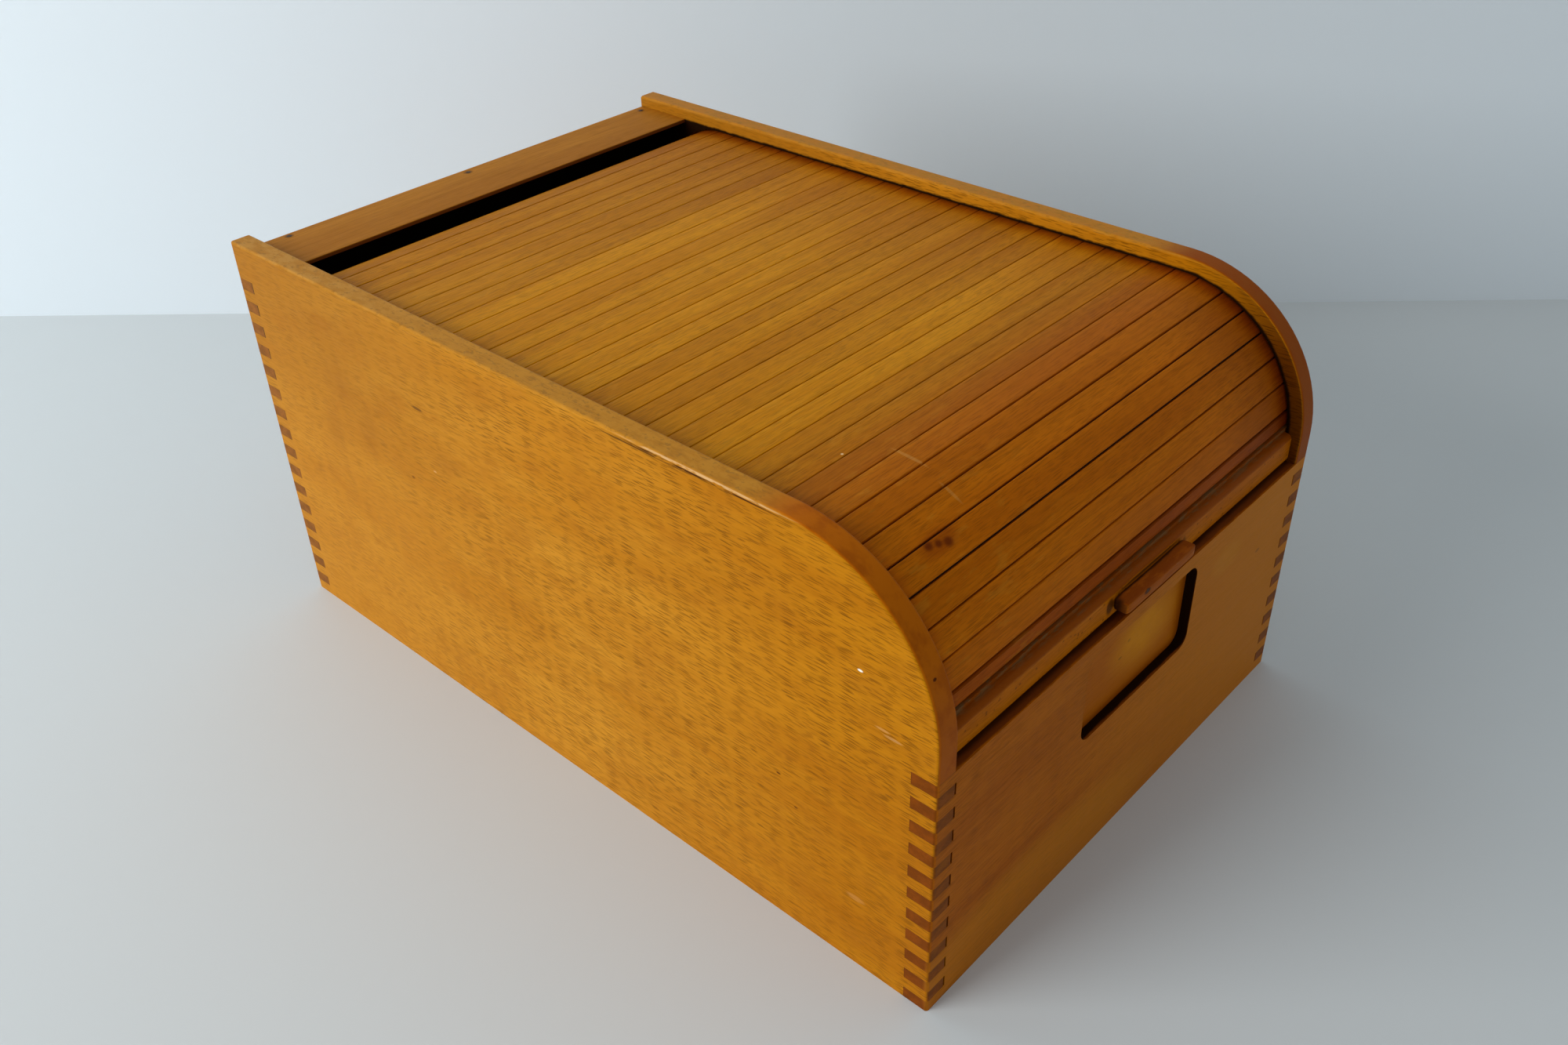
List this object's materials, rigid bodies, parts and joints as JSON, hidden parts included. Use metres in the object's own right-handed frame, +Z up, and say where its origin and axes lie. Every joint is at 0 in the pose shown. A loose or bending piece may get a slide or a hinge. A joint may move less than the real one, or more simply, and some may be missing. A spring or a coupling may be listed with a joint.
{
  "type": "tambour lid box",
  "caption": "Finger-jointed wooden box for cards and papers, closed by a sliding curtain of slats that turns over the rounded front and down behind a rear rail",
  "frame": {"origin": "centre of the footprint, on the surface the box stands on", "axes": "+X to the right seen from the front, +Y from the front to the back, +Z up"},
  "size_m": [0.2374, 0.3643, 0.1755],
  "materials": {
    "beech": "satin varnish, golden orange",
    "slat_beech": "satin varnish",
    "dark_beech": "dark stain, worn",
    "plywood": "bare plywood",
    "canvas": "undyed canvas, glue-soaked"
  },
  "bodies": {
    "case": {"left_side": "beech", "right_side": "beech", "front_panel": "beech", "back_panel": "beech", "rear_rail": "beech", "bottom_board": "plywood", "inner_floor": "plywood", "inner_back": "plywood"},
    "lid_flat": {"slat_08": "slat_beech", "slat_09": "slat_beech", "slat_10": "slat_beech", "slat_11": "slat_beech", "slat_12": "slat_beech", "slat_13": "slat_beech", "slat_14": "slat_beech", "slat_15": "slat_beech", "slat_16": "slat_beech", "slat_17": "slat_beech", "slat_18": "slat_beech", "slat_19": "slat_beech", "slat_20": "slat_beech", "slat_21": "slat_beech", "slat_22": "slat_beech", "slat_23": "slat_beech", "slat_24": "slat_beech", "slat_25": "slat_beech", "slat_26": "slat_beech", "slat_27": "slat_beech", "slat_28": "slat_beech", "slat_29": "slat_beech", "canvas_top": "canvas"},
    "lid_lead": {"lead_bar": "beech", "pull_lip": "dark_beech"},
    "lid_front": {"lead_strip": "slat_beech", "slat_01": "slat_beech", "slat_02": "slat_beech", "slat_03": "slat_beech", "slat_04": "slat_beech", "slat_05": "slat_beech", "canvas_front": "canvas"},
    "lid_06": {"slat_06": "slat_beech", "canvas_06": "canvas"},
    "lid_07": {"slat_07": "slat_beech", "canvas_07": "canvas"},
    "lid_30": {"slat_30": "slat_beech", "canvas_30": "canvas"},
    "lid_31": {"slat_31": "slat_beech", "canvas_31": "canvas"},
    "lid_tail": {"slat_32": "slat_beech", "slat_33": "slat_beech", "slat_34": "slat_beech", "canvas_tail": "canvas"}
  },
  "joints": [
    {"name": "lid_slide", "type": "slide", "parent": "case", "child": "lid_flat", "axis": [0, 1, 0], "range_m": [0, 0.015]},
    {"name": "lead_follow", "type": "hinge", "parent": "case", "child": "lid_lead", "pos_m": [0, -0.1014, 0.1118], "axis": [-1, 0, 0], "range_deg": [0, 12.16]},
    {"name": "front_bend", "type": "hinge", "parent": "case", "child": "lid_front", "pos_m": [0, -0.121, 0.1155], "axis": [-1, 0, 0], "range_deg": [0, 16.87]},
    {"name": "slat_06_roll", "type": "hinge", "parent": "case", "child": "lid_06", "pos_m": [0, -0.11945, 0.10653], "axis": [-1, 0, 0], "range_deg": [0, 14.32]},
    {"name": "slat_07_roll", "type": "hinge", "parent": "case", "child": "lid_07", "pos_m": [0, -0.11265, -0.01012], "axis": [-1, 0, 0], "range_deg": [0, 4.87]},
    {"name": "slat_30_roll", "type": "hinge", "parent": "case", "child": "lid_30", "pos_m": [0, 0.11775, -0.31653], "axis": [-1, 0, 0], "range_deg": [0, 1.79]},
    {"name": "slat_31_roll", "type": "hinge", "parent": "case", "child": "lid_31", "pos_m": [0, 0.12306, 0.11394], "axis": [-1, 0, 0], "range_deg": [0, 16.23]},
    {"name": "rear_bend", "type": "hinge", "parent": "case", "child": "lid_tail", "pos_m": [0, 0.128, 0.1377], "axis": [-1, 0, 0], "range_deg": [0, 29.86]}
  ],
  "couplings": [
    {"joint": "lead_follow", "follows": "lid_slide", "rad_per_m": 14.127},
    {"joint": "front_bend", "follows": "lid_slide", "rad_per_m": 19.608},
    {"joint": "slat_06_roll", "follows": "lid_slide", "rad_per_m": 16.646},
    {"joint": "slat_07_roll", "follows": "lid_slide", "rad_per_m": 5.6547},
    {"joint": "slat_30_roll", "follows": "lid_slide", "rad_per_m": 2.0693},
    {"joint": "slat_31_roll", "follows": "lid_slide", "rad_per_m": 18.863},
    {"joint": "rear_bend", "follows": "lid_slide", "rad_per_m": 34.722}
  ]
}
